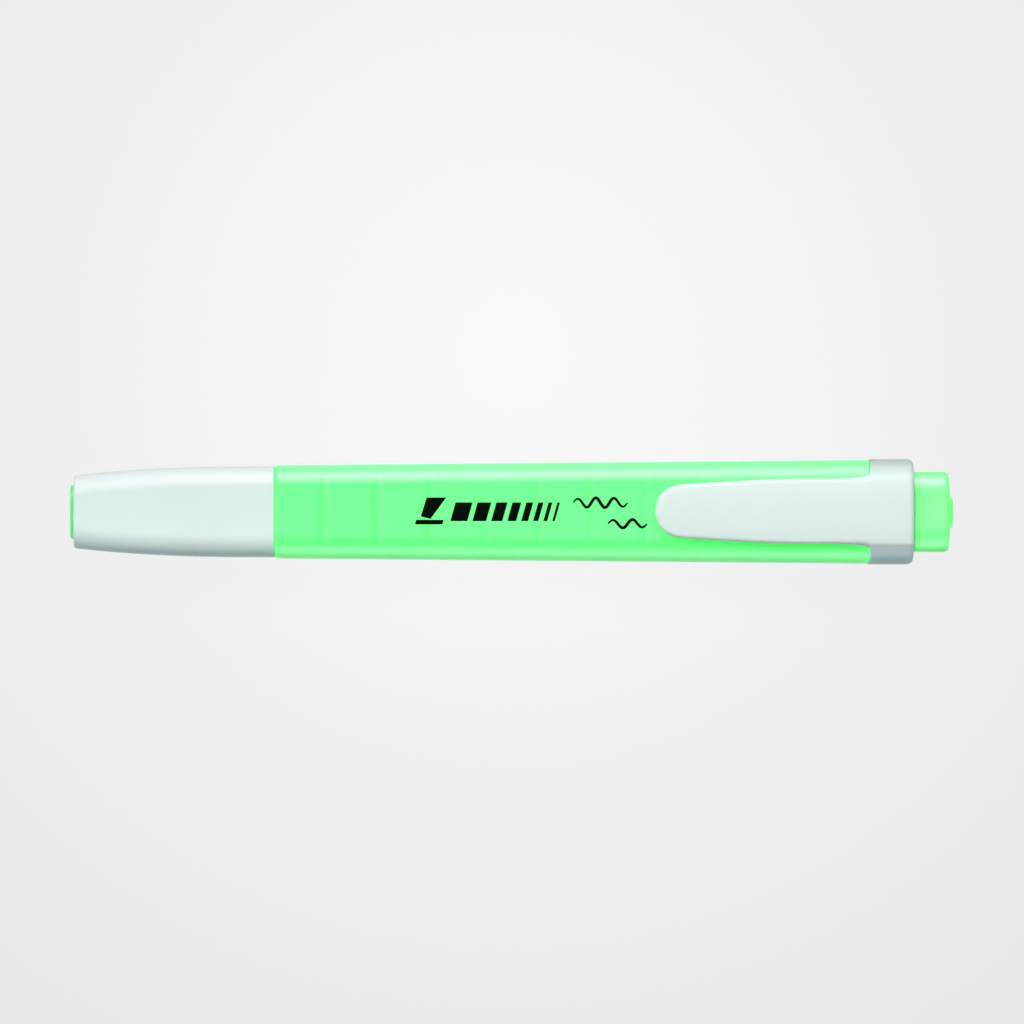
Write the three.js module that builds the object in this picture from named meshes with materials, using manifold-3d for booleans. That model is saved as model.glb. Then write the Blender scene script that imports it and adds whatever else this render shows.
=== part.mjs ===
// Pocket highlighter: a flat-sided barrel with a push-on cap at the front, a plug at the rear
// and a collar round the rear that carries a flexing clip.
//
// Millimetres. +X runs along the pen towards the rear plug, +Z points up through the clip,
// and the origin is under the middle of the pen, level with the lowest face of the collar.

import * as THREE from 'three';
import { mergeVertices } from 'three/addons/utils/BufferGeometryUtils.js';
import Module from 'manifold-3d';

const wasm = await Module();
wasm.setup();

// ---- Driving dimensions -------------------------------------------------------------

const LENGTH = 135;
const FRONT = -LENGTH / 2;
const REAR = LENGTH / 2;

// Cross-sections are rounded rectangles, each given as [width, depth, corner radius].

const CAP_MOUTH = -36.3;
const CAP_MOUTH_SECTION = [13.7, 11.8, 3.0];
const CAP_END_SECTION = [11.1, 9.5, 3.0];
const CAP_BULGE = 2.6; // exponent of the cap's swelling from its end to its mouth
const CAP_STATIONS = 10;
const CAP_WALL_MOUTH = 0.75;
const CAP_WALL_END = 1.1;

const DISC_PROUD = 0.6; // how far the inner cap's end stands out of the cap
const DISC_THICK = 1.5;
const DISC_SECTION = [8.2, 6.7, 2.1];
const DISC_FIT = 0.15;
const LINER_MOUTH = -53;
const LINER_SECTION = [8.2, 6.6, 2.0];
const LINER_BORE_SECTION = [6.7, 5.1, 1.5];
const LINER_FLANGE_THICK = 1;
const LINER_FLANGE_PROUD = 0.25;

const BARREL_FRONT_SECTION = [14.05, 12.1, 3.0];
const BARREL_REAR_SECTION = [15.65, 13.5, 3.0];
const NECK_FRONT = -44;
const NECK_SECTION = [11.7, 9.9, 2.4];
const NECK_BORE_SECTION = [9.6, 7.8, 1.9];
const BORE_SECTION = [11.6, 9.4, 2.2];
const RIB_COUNT = 11;
const RIB_FIRST = -29.2;
const RIB_PITCH = 8.15;
const RIB_HEIGHT = 0.35;
const RIB_HALF_FOOT = 0.6;
const RIB_HALF_TOP = 0.4;

const COLLAR_FRONT = 54.5;
const COLLAR_REAR = 61.3;
const COLLAR_WIDTH = 16;
const COLLAR_DEPTH = 13.8;
const COLLAR_CORNER = 3.2;
const COLLAR_EDGE = 0.8;
const COLLAR_BEND = 1; // how far below the plateau's edge the sloping facets bend
const SEAT_SECTION = [13.4, 11.2, 2.6];
const SEAT_REAR = 60.1;

const PLATEAU_TOP = 8.9; // above the pen's axis
const PLATEAU_HALF_WIDTH = 5.05;
const TONGUE_TIP = 21.8;
const TONGUE_TIP_HALF_WIDTH = 3.95;
const TONGUE_TIP_ROUND = 4.4;
const TONGUE_TAPER_LENGTH = 12;
const TONGUE_TAPER = 0.15; // how much narrower each side is where the taper ends
const TONGUE_ROOT_GAP = 0.3;
const TONGUE_ROOT_THICK = 1.7;
const TONGUE_TIP_THICK = 1.4;
const TONGUE_DROP = 0.3; // how much lower the tongue's top is at its tip
const PAD_LENGTH = 4;
const PAD_WIDTH = 5;
const PAD_DROP = 0.35;
const PAD_SETBACK = 5; // from the tongue's tip to the middle of the pad

const STUB_SECTION = [12.1, 10.3, 2.4];
const STUB_REAR = 66.85;
const STUB_WALL = 1.2;
const NUB_SECTION = [4.3, 3.4, 0.9];
const NUB_FLARE = 0.45;

const NIB_TIP = -61.3;
const NIB_SECTION = [4.5, 3.1, 0.8];
const NIB_CUT_SETBACK = 1.9;
const NIB_CUT_SLANT = 0.7; // radians from square to the rod, about its width
const NIB_CUT_SKEW = 0.25; // radians about its depth
const NIB_TAIL_TAPER = 0.6;
const NIB_TAIL_LENGTH = 3;

const NOSE_FRONT = NIB_TIP + 5;
const NOSE_FRONT_SECTION = [6.1, 4.5, 1.4];
const NOSE_REAR_SECTION = [6.3, 4.7, 1.5];
const CONE_SECTION = [8.8, 7.0, 1.9];
const HOLDER_SECTION = [9.2, 7.4, 1.9];
const HOLDER_FLANGE_SECTION = [10.9, 9.1, 2.2];
const HOLDER_STEP = 1; // length of the holder's flange, and of the step before it

const RESERVOIR_FRONT = -33.6;
const RESERVOIR_REAR = 53;
const RESERVOIR_SECTION = [9.6, 7.4, 2.6];
const FILM_THICK = 0.2;

const GAP = 0.2; // between pieces that meet end to end
const FIT = 0.1; // all round, between pieces pressed one into the other
const EDGE = 0.4; // common chamfer on moulded edges
const PAST = 1; // how far a cutting tool runs past the face that it opens

const AXIS_HEIGHT = COLLAR_DEPTH / 2;
const CURVE_STEPS = 3;

// ---- Materials ----------------------------------------------------------------------

function plastic(color, roughness) {
  return new THREE.MeshStandardMaterial({ color, roughness, metalness: 0 });
}

const greenPlastic = plastic(0x7bfa98, 0.3);
const palePlastic = plastic(0xe1f1ed, 0.5);
const fibre = plastic(0x5fe884, 0.95);
const clearFilm = plastic(0xe8f4ee, 0.2);

// ---- Solids -------------------------------------------------------------------------

function solidFrom(geometry) {
  geometry.deleteAttribute('normal');
  geometry.deleteAttribute('uv');
  const merged = mergeVertices(geometry, 1e-5);
  return new wasm.Manifold(new wasm.Mesh({
    numProp: 3,
    vertProperties: merged.attributes.position.array,
    triVerts: new Uint32Array(merged.index.array),
  }));
}

function meshFrom(name, solid, material) {
  const { vertProperties, triVerts } = solid.getMesh();
  const geometry = new THREE.BufferGeometry();
  geometry.setAttribute('position', new THREE.BufferAttribute(vertProperties, 3));
  geometry.setIndex(new THREE.BufferAttribute(triVerts, 1));
  geometry.computeVertexNormals();
  const mesh = new THREE.Mesh(geometry, material.clone());
  mesh.name = name;
  return mesh;
}

// A rounded rectangle whose corner centres are at (±1, ±1), with corners of radius 1.
function unitSection() {
  const shape = new THREE.Shape();
  shape.absarc(1, -1, 1, -Math.PI / 2, 0);
  shape.absarc(1, 1, 1, 0, Math.PI / 2);
  shape.absarc(-1, 1, 1, Math.PI / 2, Math.PI);
  shape.absarc(-1, -1, 1, Math.PI, 1.5 * Math.PI);
  return shape;
}

// Extrudes an outline through numbered stations, then lets place() put each point:
// it is given the station's number and the point's place in the outline.
function sweep(shape, stationCount, place) {
  const geometry = new THREE.ExtrudeGeometry(shape, {
    depth: stationCount - 1,
    steps: stationCount - 1,
    curveSegments: CURVE_STEPS,
    bevelEnabled: false,
  });
  const { position } = geometry.attributes;
  for (let i = 0; i < position.count; i += 1) {
    const station = Math.round(position.getZ(i));
    position.setXYZ(i, ...place(station, position.getX(i), position.getY(i)));
  }
  return solidFrom(geometry);
}

// A section drawn in by an amount all round.
function inset([width, depth, corner], amount) {
  return [width - 2 * amount, depth - 2 * amount, corner - amount];
}

// A section between two others.
function blend(first, second, share) {
  return first.map((value, i) => value + (second[i] - value) * share);
}

// A solid along X through stations, each given as [x, ...section].
function loft(stations) {
  return sweep(unitSection(), stations.length, (station, across, up) => {
    const [x, width, depth, radius] = stations[station];
    const side = Math.sign(across);
    const top = Math.sign(up);
    const y = side * (width / 2 - radius) + (across - side) * radius;
    const z = top * (depth / 2 - radius) + (up - top) * radius;
    return [x, y, z];
  });
}

// A straight length of one section.
function bar(start, end, section) {
  return loft([[start, ...section], [end, ...section]]);
}

function block(length, width, height, x, y, z) {
  const geometry = new THREE.BoxGeometry(length, width, height);
  geometry.translate(x, y, z);
  return solidFrom(geometry);
}

// ---- Cap ----------------------------------------------------------------------------

// 0 at the cap's mouth, 1 at its end face.
function fromMouth(x) {
  return Math.max(0, CAP_MOUTH - x) / (CAP_MOUTH - FRONT - DISC_PROUD);
}

function capSection(x) {
  return blend(CAP_MOUTH_SECTION, CAP_END_SECTION, fromMouth(x) ** CAP_BULGE);
}

function capWall(x) {
  return CAP_WALL_MOUTH + (CAP_WALL_END - CAP_WALL_MOUTH) * fromMouth(x);
}

function evenlySpaced(start, end, count) {
  return Array.from({ length: count }, (_, i) => start + ((end - start) * i) / (count - 1));
}

function capShell() {
  const endFace = FRONT + DISC_PROUD;
  const floor = endFace + CAP_WALL_END;
  const outside = loft([
    [endFace, ...inset(capSection(endFace), EDGE)],
    ...evenlySpaced(endFace + EDGE, CAP_MOUTH, CAP_STATIONS).map((x) => [x, ...capSection(x)]),
  ]);
  const inside = loft([
    ...evenlySpaced(floor, CAP_MOUTH, CAP_STATIONS).map((x) => [x, ...inset(capSection(x), capWall(x))]),
    [CAP_MOUTH + PAST, ...inset(CAP_MOUTH_SECTION, CAP_WALL_MOUTH)],
  ]);
  const endOpening = bar(endFace - PAST, floor + PAST, inset(DISC_SECTION, -DISC_FIT));
  return outside.subtract(inside).subtract(endOpening);
}

// The inner cap: an end disc that shows through the cap, a flange behind it, and the tube
// that seals on the nib holder.
function capLiner() {
  const flangeFront = FRONT + DISC_PROUD + CAP_WALL_END + GAP;
  const flangeRear = flangeFront + LINER_FLANGE_THICK;
  const flangeSection = inset(DISC_SECTION, -LINER_FLANGE_PROUD);
  const outside = loft([
    [FRONT, ...inset(DISC_SECTION, EDGE / 2)],
    [FRONT + EDGE / 2, ...DISC_SECTION],
    [flangeFront, ...DISC_SECTION],
    [flangeFront, ...flangeSection],
    [flangeRear, ...flangeSection],
    [flangeRear + EDGE, ...LINER_SECTION],
    [LINER_MOUTH - EDGE, ...LINER_SECTION],
    [LINER_MOUTH, ...inset(LINER_SECTION, EDGE / 2)],
  ]);
  return outside.subtract(bar(FRONT + DISC_THICK, LINER_MOUTH + PAST, LINER_BORE_SECTION));
}

// ---- Barrel and plug ----------------------------------------------------------------

function barrelBore() {
  const ribTop = inset(BORE_SECTION, RIB_HEIGHT);
  const ribs = Array.from({ length: RIB_COUNT }, (_, i) => RIB_FIRST + i * RIB_PITCH);
  const ribStations = ribs.flatMap((x) => [
    [x - RIB_HALF_FOOT, ...BORE_SECTION],
    [x - RIB_HALF_TOP, ...ribTop],
    [x + RIB_HALF_TOP, ...ribTop],
    [x + RIB_HALF_FOOT, ...BORE_SECTION],
  ]);
  return loft([
    [NECK_FRONT - PAST, ...NECK_BORE_SECTION],
    [CAP_MOUTH, ...NECK_BORE_SECTION],
    [RESERVOIR_FRONT - PAST, ...BORE_SECTION],
    ...ribStations,
    [SEAT_REAR + PAST, ...BORE_SECTION],
  ]);
}

function barrel() {
  const shoulder = CAP_MOUTH + GAP;
  const step = COLLAR_FRONT - GAP;
  const outside = loft([
    [NECK_FRONT, ...inset(NECK_SECTION, EDGE / 2)],
    [NECK_FRONT + EDGE, ...NECK_SECTION],
    [shoulder, ...NECK_SECTION],
    [shoulder, ...inset(BARREL_FRONT_SECTION, EDGE / 2)],
    [shoulder + EDGE, ...BARREL_FRONT_SECTION],
    [step, ...BARREL_REAR_SECTION],
    [step, ...SEAT_SECTION],
    [SEAT_REAR, ...SEAT_SECTION],
  ]);
  return outside.subtract(barrelBore());
}

// The plug: a skirt inside the barrel, the stub behind the collar, and the nub on its end.
function endPlug() {
  const skirtFront = COLLAR_FRONT;
  const stubFront = SEAT_REAR + GAP;
  const skirtSection = inset(BORE_SECTION, FIT);
  const outside = loft([
    [skirtFront, ...inset(skirtSection, EDGE / 2)],
    [skirtFront + EDGE, ...skirtSection],
    [stubFront, ...skirtSection],
    [stubFront, ...STUB_SECTION],
    [STUB_REAR - EDGE, ...STUB_SECTION],
    [STUB_REAR, ...inset(STUB_SECTION, EDGE)],
    [STUB_REAR, ...inset(NUB_SECTION, -NUB_FLARE)],
    [REAR, ...NUB_SECTION],
  ]);
  const hollow = bar(skirtFront - PAST, STUB_REAR - STUB_WALL, inset(skirtSection, STUB_WALL));
  return outside.subtract(hollow);
}

// ---- Collar and clip ----------------------------------------------------------------

// The collar's outline: a rounded rectangle whose top corners rise to the clip's plateau.
function collarOutline() {
  const halfWidth = COLLAR_WIDTH / 2;
  const halfDepth = COLLAR_DEPTH / 2;
  const riseStart = halfDepth - COLLAR_CORNER;
  const riseEnd = PLATEAU_TOP - EDGE;
  const shape = new THREE.Shape();
  shape.absarc(halfWidth - COLLAR_CORNER, COLLAR_CORNER - halfDepth, COLLAR_CORNER, -Math.PI / 2, 0);
  shape.lineTo(halfWidth, riseStart);
  shape.quadraticCurveTo(halfWidth, riseEnd - COLLAR_BEND, PLATEAU_HALF_WIDTH, riseEnd);
  shape.lineTo(PLATEAU_HALF_WIDTH, PLATEAU_TOP);
  shape.lineTo(-PLATEAU_HALF_WIDTH, PLATEAU_TOP);
  shape.lineTo(-PLATEAU_HALF_WIDTH, riseEnd);
  shape.quadraticCurveTo(-halfWidth, riseEnd - COLLAR_BEND, -halfWidth, riseStart);
  shape.absarc(COLLAR_CORNER - halfWidth, COLLAR_CORNER - halfDepth, COLLAR_CORNER, Math.PI, 1.5 * Math.PI);
  return shape;
}

function clipRing() {
  const stations = [[COLLAR_FRONT, 0], [COLLAR_REAR - COLLAR_EDGE, 0], [COLLAR_REAR, COLLAR_EDGE]];
  const outside = sweep(collarOutline(), stations.length, (station, across, up) => {
    const [x, drawnIn] = stations[station];
    const shrink = 1 - (2 * drawnIn) / COLLAR_WIDTH;
    return [x, across * shrink, up * shrink];
  });
  const seat = bar(COLLAR_FRONT - PAST, SEAT_REAR + GAP, inset(SEAT_SECTION, -FIT));
  const opening = bar(SEAT_REAR - PAST, COLLAR_REAR + PAST, inset(STUB_SECTION, -FIT));
  return outside.subtract(seat).subtract(opening);
}

function tongueOutline(root) {
  const roundEnd = TONGUE_TIP + TONGUE_TIP_ROUND;
  const taperEnd = roundEnd + TONGUE_TAPER_LENGTH;
  const shape = new THREE.Shape();
  shape.moveTo(root, PLATEAU_HALF_WIDTH);
  shape.lineTo(taperEnd, PLATEAU_HALF_WIDTH - TONGUE_TAPER);
  shape.absellipse(
    roundEnd, 0, TONGUE_TIP_ROUND, TONGUE_TIP_HALF_WIDTH, Math.PI / 2, 1.5 * Math.PI,
  );
  shape.lineTo(taperEnd, TONGUE_TAPER - PLATEAU_HALF_WIDTH);
  shape.lineTo(root, -PLATEAU_HALF_WIDTH);
  return shape;
}

// The tongue: a thin blade, with a pad under its tip that grips what it is clipped to.
function clipTongue() {
  const root = COLLAR_FRONT - TONGUE_ROOT_GAP;
  const top = (x) => PLATEAU_TOP - (TONGUE_DROP * (root - x)) / (root - TONGUE_TIP);
  const thickness = (x) => TONGUE_TIP_THICK
    + ((TONGUE_ROOT_THICK - TONGUE_TIP_THICK) * (x - TONGUE_TIP)) / (root - TONGUE_TIP);
  const blade = sweep(tongueOutline(root), 2, (station, x, y) => [
    x, y, station === 1 ? top(x) : top(x) - thickness(x),
  ]);
  const padCentre = TONGUE_TIP + PAD_SETBACK;
  const padTop = top(padCentre) - TONGUE_TIP_THICK / 2;
  const padHeight = TONGUE_TIP_THICK / 2 + PAD_DROP;
  const pad = block(PAD_LENGTH, PAD_WIDTH, padHeight, padCentre, 0, padTop - padHeight / 2);
  return blade.add(pad);
}

// ---- Nib, nib holder and ink reservoir ----------------------------------------------

function nibSection() {
  const flangeRear = NECK_FRONT - GAP;
  const flangeFront = flangeRear - HOLDER_STEP;
  const plugRear = CAP_MOUTH - EDGE;
  const plugSection = inset(NECK_BORE_SECTION, FIT);
  const outside = loft([
    [NOSE_FRONT, ...inset(NOSE_FRONT_SECTION, EDGE / 2)],
    [NOSE_FRONT + EDGE, ...NOSE_FRONT_SECTION],
    [LINER_MOUTH + EDGE, ...NOSE_REAR_SECTION],
    [flangeFront - HOLDER_STEP, ...CONE_SECTION],
    [flangeFront, ...HOLDER_SECTION],
    [flangeFront, ...HOLDER_FLANGE_SECTION],
    [flangeRear, ...HOLDER_FLANGE_SECTION],
    [flangeRear, ...plugSection],
    [plugRear - EDGE, ...plugSection],
    [plugRear, ...inset(plugSection, EDGE / 2)],
  ]);
  return outside.subtract(bar(NOSE_FRONT - PAST, plugRear + PAST, inset(NIB_SECTION, -FIT)));
}

// A fibre rod with one slanted cut that leaves the writing edge along its top.
function nib() {
  const tail = RESERVOIR_FRONT - GAP;
  const rod = loft([
    [NIB_TIP, ...NIB_SECTION],
    [tail - NIB_TAIL_LENGTH, ...NIB_SECTION],
    [tail, ...inset(NIB_SECTION, NIB_TAIL_TAPER)],
  ]);
  const reach = 2 * Math.max(...NIB_SECTION);
  const cutter = new THREE.BoxGeometry(reach, reach, reach);
  cutter.translate(-reach / 2, 0, 0);
  cutter.rotateY(-NIB_CUT_SLANT);
  cutter.rotateZ(-NIB_CUT_SKEW);
  cutter.translate(NIB_TIP + NIB_CUT_SETBACK, 0, 0);
  return rod.subtract(solidFrom(cutter));
}

function reservoirCore() {
  const end = inset(RESERVOIR_SECTION, EDGE / 2);
  return loft([
    [RESERVOIR_FRONT, ...end],
    [RESERVOIR_FRONT + EDGE, ...RESERVOIR_SECTION],
    [RESERVOIR_REAR - EDGE, ...RESERVOIR_SECTION],
    [RESERVOIR_REAR, ...end],
  ]);
}

function reservoirFilm() {
  const inside = inset(RESERVOIR_SECTION, -FIT);
  const start = RESERVOIR_FRONT + GAP;
  const end = RESERVOIR_REAR - GAP;
  const outside = bar(start, end, inset(inside, -FILM_THICK));
  return outside.subtract(bar(start - PAST, end + PAST, inside));
}

// ---- Assembly -----------------------------------------------------------------------

const pen = new THREE.Group();
pen.position.z = AXIS_HEIGHT;

const body = new THREE.Group();
body.add(
  meshFrom('barrel', barrel(), greenPlastic),
  meshFrom('end_plug', endPlug(), greenPlastic),
  meshFrom('nib_section', nibSection(), palePlastic),
  meshFrom('nib', nib(), fibre),
  meshFrom('reservoir_core', reservoirCore(), fibre),
  meshFrom('reservoir_film', reservoirFilm(), clearFilm),
);

const cap = new THREE.Group();
cap.add(
  meshFrom('cap_shell', capShell(), palePlastic),
  meshFrom('cap_liner', capLiner(), greenPlastic),
);

const clip = new THREE.Group();
clip.add(
  meshFrom('clip_ring', clipRing(), palePlastic),
  meshFrom('clip_tongue', clipTongue(), palePlastic),
);

pen.add(body, cap, clip);

export default pen;
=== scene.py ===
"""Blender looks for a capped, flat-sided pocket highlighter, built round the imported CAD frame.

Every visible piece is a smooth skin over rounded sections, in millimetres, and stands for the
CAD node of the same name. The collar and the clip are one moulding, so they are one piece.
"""
import math

import bmesh
import bpy
import numpy as np
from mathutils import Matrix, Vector

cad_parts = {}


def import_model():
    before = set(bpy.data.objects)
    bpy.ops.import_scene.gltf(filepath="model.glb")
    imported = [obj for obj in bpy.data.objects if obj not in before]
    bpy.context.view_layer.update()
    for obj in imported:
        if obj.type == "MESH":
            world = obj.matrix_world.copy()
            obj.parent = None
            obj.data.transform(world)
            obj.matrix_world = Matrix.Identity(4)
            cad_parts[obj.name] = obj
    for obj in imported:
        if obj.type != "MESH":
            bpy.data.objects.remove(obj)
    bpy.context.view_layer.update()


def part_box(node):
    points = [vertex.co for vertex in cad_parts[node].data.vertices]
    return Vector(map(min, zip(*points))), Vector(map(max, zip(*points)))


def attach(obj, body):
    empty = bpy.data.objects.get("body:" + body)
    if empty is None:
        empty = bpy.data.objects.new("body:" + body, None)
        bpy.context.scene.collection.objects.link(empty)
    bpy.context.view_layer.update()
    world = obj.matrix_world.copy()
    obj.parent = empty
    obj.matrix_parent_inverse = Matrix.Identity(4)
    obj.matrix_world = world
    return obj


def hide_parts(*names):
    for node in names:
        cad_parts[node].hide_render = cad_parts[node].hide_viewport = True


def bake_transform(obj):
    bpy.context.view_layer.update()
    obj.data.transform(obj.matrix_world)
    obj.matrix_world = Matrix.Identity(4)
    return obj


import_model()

MM = 0.001

# ---- Places taken from the frame, in millimetres -------------------------------------------


def span(node, axis):
    """Lowest and highest place of a CAD node along an axis (0, 1 or 2)."""
    low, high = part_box(node)
    return low[axis] / MM, high[axis] / MM


def size(node, axis):
    low, high = span(node, axis)
    return high - low


AXIS_Z = sum(span("barrel", 2)) / 2
CAP_END, CAP_MOUTH = span("cap_shell", 0)
DISC_FACE, LINER_MOUTH = span("cap_liner", 0)
NECK_FRONT, SEAT_REAR = span("barrel", 0)
COLLAR_FRONT, COLLAR_REAR = span("clip_ring", 0)
TONGUE_TIP = span("clip_tongue", 0)[0]
PLUG_FRONT, NUB_FACE = span("end_plug", 0)
NOSE_FRONT, SECTION_REAR = span("nib_section", 0)
NIB_TIP, NIB_TAIL = span("nib", 0)
CORE_FRONT, CORE_REAR = span("reservoir_core", 0)

# ---- Sizes, in millimetres. A SIZE is a width and a depth; heights are above the pen's axis --

FLAT_CROWN = 0.08  # how far the middle of a flat face stands out
END_GAP = 0.1  # between the barrel's shoulder and the cap, and between its step and the collar
FIT = 0.1  # all round, between pieces pressed one into the other

CAP_MOUTH_SIZE = (size("cap_shell", 1), size("cap_shell", 2))
CAP_END_SIZE = (10.95, 9.4)
CAP_BULGE = 2.6  # exponent of the cap's swelling from its end to its mouth
CAP_WALL = (0.75, 1.1)  # at the mouth and at the end
CAP_CORNER = 3.0
DISC_SIZE = (8.2, 6.7)
DISC_CORNER = 2.1
LINER_SIZE = (8.1, 6.5)
LINER_BORE_SIZE = (6.7, 5.1)

SHOULDER = CAP_MOUTH + END_GAP
STEP = COLLAR_FRONT - END_GAP
BARREL_FRONT_SIZE = (14.05, 12.1)
BARREL_REAR_SIZE = (15.65, 13.5)
BARREL_CORNER = 3.0
NECK_SIZE = (11.7, 9.9)
NECK_CORNER = 2.4
NECK_BEAD = NECK_FRONT + 3.4  # the low ring that the cap snaps over
NECK_BORE_SIZE = (9.6, 7.8)
SEAT_SIZE = (13.4, 11.2)
SEAT_CORNER = 2.6
BORE_SIZE = (11.6, 9.4)
BORE_CORNER = 2.2
RIB_FIRST = -29.2
RIB_PITCH = 8.15

STUB_SIZE = (12.1, 10.3)
STUB_REAR = 66.85
STUB_WALL = 1.2
NUB_SIZE = (3.9, 3.0)

NIB_SIZE = (size("nib", 1), size("nib", 2))
NIB_CUT_PLACE = NIB_TIP + 1.75
NIB_CUT_SLANT = 0.7  # radians from square to the rod, about its width
NIB_CUT_SKEW = 0.25  # radians about its depth
NOSE_FRONT_SIZE = (6.1, 4.5)
NOSE_REAR_SIZE = (6.3, 4.7)
CONE_SIZE = (8.7, 6.9)
HOLDER_SIZE = (9.2, 7.4)
HOLDER_FLANGE_SIZE = (10.9, 9.1)
HOLDER_FLANGE_LENGTH = 1.0

CORE_SIZE = (9.6, 7.4)
FILM_GAP = 0.1
FILM_THICK = 0.2

RING_REAR = COLLAR_REAR - 0.15
COLLAR_WIDTH = size("clip_ring", 1)
COLLAR_EDGE = 0.8
FACET_SLOPE = 0.92
PLATEAU_TOP = span("clip_ring", 2)[1] - AXIS_Z - 0.15
PLATEAU_HALF = 4.95
CLIP_CROWN = 0.22
TONGUE_LENGTH = COLLAR_FRONT - TONGUE_TIP
TONGUE_DROP = 0.3  # how much lower the tongue's top is at its tip
TONGUE_THICK = (1.7, 1.4)  # at the root and at the tip
TIP_HALF = 3.92
TIP_ROUND = 5.0
FOOT_FILLET = 0.9
PAD_SIZE = (4.4, 5.4)  # along the pen and across it
PAD_CENTRE = TONGUE_TIP + 5.0
PAD_FACE = span("clip_tongue", 2)[0] - AXIS_Z - 0.1

# ---- Mesh making --------------------------------------------------------------------------

CORNER_STEPS = 14
FLAT_STEPS = 8
FILLET_STEPS = 6
LONGEST_STEP = 1.6


def between(start, end, share):
    return tuple(a + (b - a) * share for a, b in zip(start, end))


def inset(dimensions, amount):
    return tuple(d - 2 * amount for d in dimensions)


def ring_of(curves):
    """One ring of points: the curves in turn, each joined to the next by a straight run."""
    shares = (0.5 - 0.5 * np.cos(np.linspace(0, math.pi, FLAT_STEPS + 1)))[1:-1, None]
    points = []
    for curve, following in zip(curves, curves[1:] + curves[:1]):
        points += [curve, curve[-1] * (1 - shares) + following[0] * shares]
    return np.concatenate(points)


def section(width, depth, radius, crown=FLAT_CROWN):
    """Points round a rounded rectangle whose flats stand out by crown in the middle."""
    radius = min(radius, 0.499 * width, 0.499 * depth)
    sweep = np.linspace(0, math.pi / 2, CORNER_STEPS + 1)
    arcs = []
    for quarter, (side, top) in enumerate(((1, 1), (-1, 1), (-1, -1), (1, -1))):
        angle = sweep + quarter * math.pi / 2
        centre = np.array((side * (width / 2 - radius), top * (depth / 2 - radius)))
        arcs.append(centre + radius * np.stack((np.cos(angle), np.sin(angle)), 1))
    outline = ring_of(arcs)
    share = 1 - (2 * outline / (width, depth)) ** 2
    outline[:, 0] *= 1 + 2 * crown / width * share[:, 1]
    outline[:, 1] *= 1 + 2 * crown / depth * share[:, 0]
    return outline


def eased_outline(corners):
    """Points (y, z) round a polygon of corners (y, z, fillet), each corner eased by its fillet."""
    spots = [np.array(corner[:2]) for corner in corners]
    t = np.linspace(0, 1, CORNER_STEPS + 1)[:, None]
    curves = []
    for i, (_, _, fillet) in enumerate(corners):
        ends = []
        for other in (spots[i - 1], spots[(i + 1) % len(spots)]):
            step = other - spots[i]
            ends.append(spots[i] + step * min(fillet / np.linalg.norm(step), 0.49))
        curves.append((1 - t) ** 2 * ends[0] + 2 * t * (1 - t) * spots[i] + t**2 * ends[1])
    return ring_of(curves)


def mirrored(right):
    """Corners (y, z, fillet) down the right side, and then up the left side to match."""
    return right + [(-y, z, fillet) for y, z, fillet in reversed(right)]


def finish_mesh(name, bm):
    """Turns a bmesh in millimetres, centred on the pen's axis, into an object in metres."""
    bmesh.ops.recalc_face_normals(bm, faces=bm.faces)
    bmesh.ops.translate(bm, verts=bm.verts, vec=(0, 0, AXIS_Z))
    bmesh.ops.scale(bm, verts=bm.verts, vec=(MM, MM, MM))
    mesh = bpy.data.meshes.new(name)
    bm.to_mesh(mesh)
    bm.free()
    mesh.shade_smooth()
    piece = bpy.data.objects.new(name, mesh)
    bpy.context.scene.collection.objects.link(piece)
    return piece


def band(bm, row, following):
    """Quads between two closed rows of vertices."""
    for i in range(len(row)):
        j = (i + 1) % len(row)
        bm.faces.new((row[i], row[j], following[j], following[i]))


def skin(bm, loops, closed):
    """Joins loops of points with quads. closed joins the last to the first, else ends are capped."""
    rows = [[bm.verts.new(point) for point in loop] for loop in loops]
    for row, following in zip(rows, rows[1:]):
        band(bm, row, following)
    if closed:
        band(bm, rows[-1], rows[0])
    else:
        bm.faces.new(rows[0])
        bm.faces.new(rows[-1])


def rounded(path, closed):
    """Stations of a path of (x, width, depth, radius, fillet), its corners eased by their fillets."""
    points = [np.array((x, w / 2, d / 2, r)) for x, w, d, r, _ in path]
    count = len(points)
    eased = []
    for i, point in enumerate(points):
        fillet = path[i][4]
        if fillet <= 0 or (not closed and i in (0, count - 1)):
            eased.append(point)
            continue
        ends, supports = [], []
        for other in (points[i - 1], points[(i + 1) % count]):
            step = other - point
            length = math.hypot(step[0], (step[1] + step[2]) / 2)
            ends.append(point + step * min(fillet / length, 0.45))
            supports.append(point + step * min(1.3 * fillet / length, 0.49))
        eased.append(supports[0])
        for t in np.linspace(0, 1, FILLET_STEPS + 1):
            eased.append((1 - t) ** 2 * ends[0] + 2 * t * (1 - t) * point + t**2 * ends[1])
        eased.append(supports[1])
    stations = []
    following = eased[1:] + (eased[:1] if closed else [])
    for start, end in zip(eased, following):
        parts = max(1, math.ceil(abs(end[0] - start[0]) / LONGEST_STEP))
        stations += [start + (end - start) * k / parts for k in range(parts)]
    return stations if closed else stations + [eased[-1]]


def lofted(name, path, closed=False, crown=FLAT_CROWN):
    """A piece skinned over a path of stations (x, width, depth, radius, fillet).

    A closed path runs out along the piece's outside and back along its inside.
    """
    loops = []
    for x, half_width, half_depth, radius in rounded(path, closed):
        outline = section(2 * half_width, 2 * half_depth, max(radius, 0.05), crown)
        loops.append(np.insert(outline, 0, x, axis=1))
    bm = bmesh.new()
    skin(bm, loops, closed)
    return finish_mesh(name, bm)


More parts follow.
